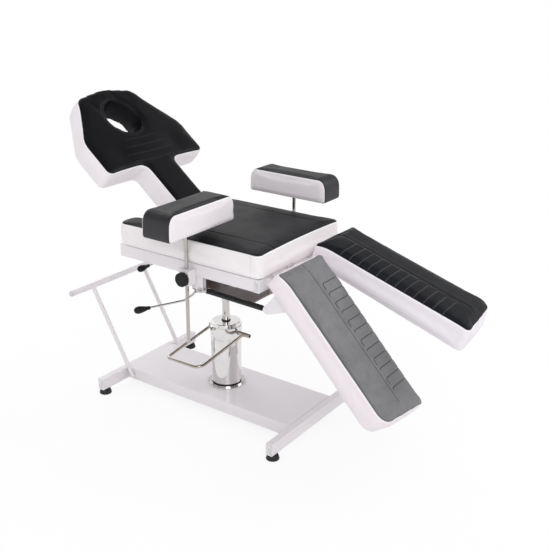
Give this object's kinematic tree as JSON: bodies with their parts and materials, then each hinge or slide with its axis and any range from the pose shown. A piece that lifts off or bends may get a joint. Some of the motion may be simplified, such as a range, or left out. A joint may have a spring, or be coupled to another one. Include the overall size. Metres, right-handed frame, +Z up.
{
  "type": "tattoo chair",
  "caption": "Hydraulic tattoo chair with a padded seat, a tilting split leg rest, a backrest with a face opening, swivelling armrests and a pump pedal on a beam base.",
  "frame": {"origin": "on the floor under the pump's axis", "axes": "+Z up, +Y to the head end, -X to the side of the armrest that is swung across the seat"},
  "size_m": [1.0582, 1.7277, 1.2033],
  "materials": {
    "white_paint": "gloss",
    "black_paint": "satin",
    "chrome": "polished",
    "steel": "satin",
    "upholstery": "semi-gloss grain",
    "board": "raw",
    "black_rubber": "matt",
    "black_plastic": "matt",
    "grey_plastic": "matt"
  },
  "bodies": {
    "base": {"cross_beams": "white_paint", "base_platform": "white_paint", "rear_frame": "white_paint", "rubber_feet": "black_rubber", "foot_nuts": "steel", "frame_end_caps": "grey_plastic", "pump_flange": "chrome", "pump_seal_ring": "black_rubber", "pump_sleeve": "chrome", "pump_head": "chrome", "pump_barrel": "steel", "rod_wiper": "black_rubber", "pedal_pivots": "steel"},
    "pedal": {"pedal_loop": "chrome", "pedal_stub": "chrome"},
    "tray": {"piston_rod": "chrome", "rod_socket": "steel", "saddle_bracket": "white_paint", "saddle_bolts": "steel", "side_rails": "white_paint", "foot_rail": "white_paint", "tray_cross_rails": "white_paint", "rail_end_caps": "grey_plastic", "hinge_lugs": "white_paint", "hinge_pins": "steel", "strut_brackets": "white_paint", "bracket_pins": "steel", "arm_clamps": "white_paint", "seat_cushion": "upholstery", "seat_board": "board"},
    "near_leg": {"near_leg_cushion": "upholstery", "near_leg_board": "board", "near_leg_frame": "white_paint"},
    "far_leg": {"far_leg_cushion": "upholstery", "far_leg_board": "board", "far_leg_frame": "white_paint"},
    "near_rod": {"near_strut_rod": "steel"},
    "near_tube": {"near_strut_tube": "black_paint"},
    "far_rod": {"far_strut_rod": "steel"},
    "far_tube": {"far_strut_tube": "black_paint"},
    "backrest": {"back_cushion": "upholstery", "back_board": "board", "back_frame": "white_paint"},
    "back_tube": {"back_strut_tube": "black_paint"},
    "back_rod": {"back_strut_rod": "steel"},
    "near_post": {"near_arm_post": "chrome"},
    "near_arm": {"near_arm_cushion": "upholstery", "near_arm_plate": "black_paint"},
    "near_knob": {"near_clamp_knob": "black_plastic"},
    "far_post": {"far_arm_post": "chrome"},
    "far_arm": {"far_arm_cushion": "upholstery", "far_arm_plate": "black_paint"},
    "far_knob": {"far_clamp_knob": "black_plastic"},
    "near_lever": {"near_leg_lever": "chrome", "near_lever_grip": "black_plastic"},
    "far_lever": {"far_leg_lever": "chrome", "far_lever_grip": "black_plastic"},
    "backrest_lever": {"back_lever": "chrome", "back_lever_grip": "black_plastic"}
  },
  "joints": [
    {"name": "lift", "type": "slide", "parent": "base", "child": "tray", "axis": [0, 0, 1], "range_m": [0, 0.15]},
    {"name": "pedal_press", "type": "hinge", "parent": "base", "child": "pedal", "pos_m": [0, 0, 0.3125], "axis": [0, -1, 0], "range_deg": [0, 22], "stiffness_Nm_per_rad": 8, "springref_deg": -34.38},
    {"name": "near_leg_tilt", "type": "hinge", "parent": "tray", "child": "near_leg", "pos_m": [-0.1415, -0.388, 0.682], "axis": [1, 0, 0], "range_deg": [-47, 1]},
    {"name": "far_leg_tilt", "type": "hinge", "parent": "tray", "child": "far_leg", "pos_m": [0.1415, -0.388, 0.682], "axis": [1, 0, 0], "range_deg": [-17, 30]},
    {"name": "backrest_tilt", "type": "hinge", "parent": "tray", "child": "backrest", "pos_m": [0, 0.1485, 0.678], "axis": [1, 0, 0], "range_deg": [-39, 11]},
    {"name": "near_strut_swing", "type": "hinge", "parent": "tray", "child": "near_rod", "pos_m": [-0.25, -0.086, 0.589], "axis": [1, 0, 0], "range_deg": [-5, 1]},
    {"name": "near_strut_slide", "type": "slide", "parent": "near_rod", "child": "near_tube", "axis": [0, -0.9998, -0.0223], "range_m": [-0.003, 0.08]},
    {"name": "far_strut_swing", "type": "hinge", "parent": "tray", "child": "far_rod", "pos_m": [0.25, -0.086, 0.589], "axis": [1, 0, 0], "range_deg": [-3, 4]},
    {"name": "far_strut_slide", "type": "slide", "parent": "far_rod", "child": "far_tube", "axis": [0, -0.9999, 0.0129], "range_m": [-0.05, 0.031]},
    {"name": "back_strut_swing", "type": "hinge", "parent": "tray", "child": "back_tube", "pos_m": [-0.15, -0.16, 0.6], "axis": [1, 0, 0], "range_deg": [-3, 1]},
    {"name": "back_strut_slide", "type": "slide", "parent": "back_tube", "child": "back_rod", "axis": [0, 0.9995, 0.0328], "range_m": [-0.051, 0.0155]},
    {"name": "near_post_slide", "type": "slide", "parent": "tray", "child": "near_post", "axis": [0, 0, 1], "range_m": [-0.01, 0.12]},
    {"name": "near_arm_swivel", "type": "hinge", "parent": "near_post", "child": "near_arm", "pos_m": [-0.283, -0.042, 0.8], "axis": [0, 0, 1], "continuous": true},
    {"name": "near_knob_turn", "type": "hinge", "parent": "tray", "child": "near_knob", "pos_m": [-0.303, -0.042, 0.636], "axis": [-1, 0, 0], "continuous": true},
    {"name": "far_post_slide", "type": "slide", "parent": "tray", "child": "far_post", "axis": [0, 0, 1], "range_m": [-0.01, 0.12]},
    {"name": "far_arm_swivel", "type": "hinge", "parent": "far_post", "child": "far_arm", "pos_m": [0.283, -0.135, 0.8], "axis": [0, 0, 1], "continuous": true},
    {"name": "far_knob_turn", "type": "hinge", "parent": "tray", "child": "far_knob", "pos_m": [0.303, -0.135, 0.636], "axis": [1, 0, 0], "continuous": true},
    {"name": "near_lever_pull", "type": "hinge", "parent": "tray", "child": "near_lever", "pos_m": [-0.25, -0.058, 0.5774], "axis": [0, 0, -1], "range_deg": [0, 12], "stiffness_Nm_per_rad": 2, "springref_deg": -17.19},
    {"name": "far_lever_pull", "type": "hinge", "parent": "tray", "child": "far_lever", "pos_m": [0.25, -0.058, 0.5774], "axis": [0, 0, 1], "range_deg": [0, 12], "stiffness_Nm_per_rad": 2, "springref_deg": -17.19},
    {"name": "back_lever_pull", "type": "hinge", "parent": "back_rod", "child": "backrest_lever", "pos_m": [-0.15, 0.21499, 0.6123], "axis": [0, 0.0328, -0.9995], "range_deg": [0, 12], "stiffness_Nm_per_rad": 1, "springref_deg": -17.19}
  ],
  "couplings": [
    {"joint": "near_strut_swing", "follows": "near_leg_tilt", "ratio": 0.088028},
    {"joint": "near_strut_slide", "follows": "near_leg_tilt", "m_per_rad": -0.09297},
    {"joint": "far_strut_swing", "follows": "far_leg_tilt", "ratio": 0.10569},
    {"joint": "far_strut_slide", "follows": "far_leg_tilt", "m_per_rad": -0.091526},
    {"joint": "back_strut_swing", "follows": "backrest_tilt", "ratio": 0.059018},
    {"joint": "back_strut_slide", "follows": "backrest_tilt", "m_per_rad": 0.072546}
  ]
}
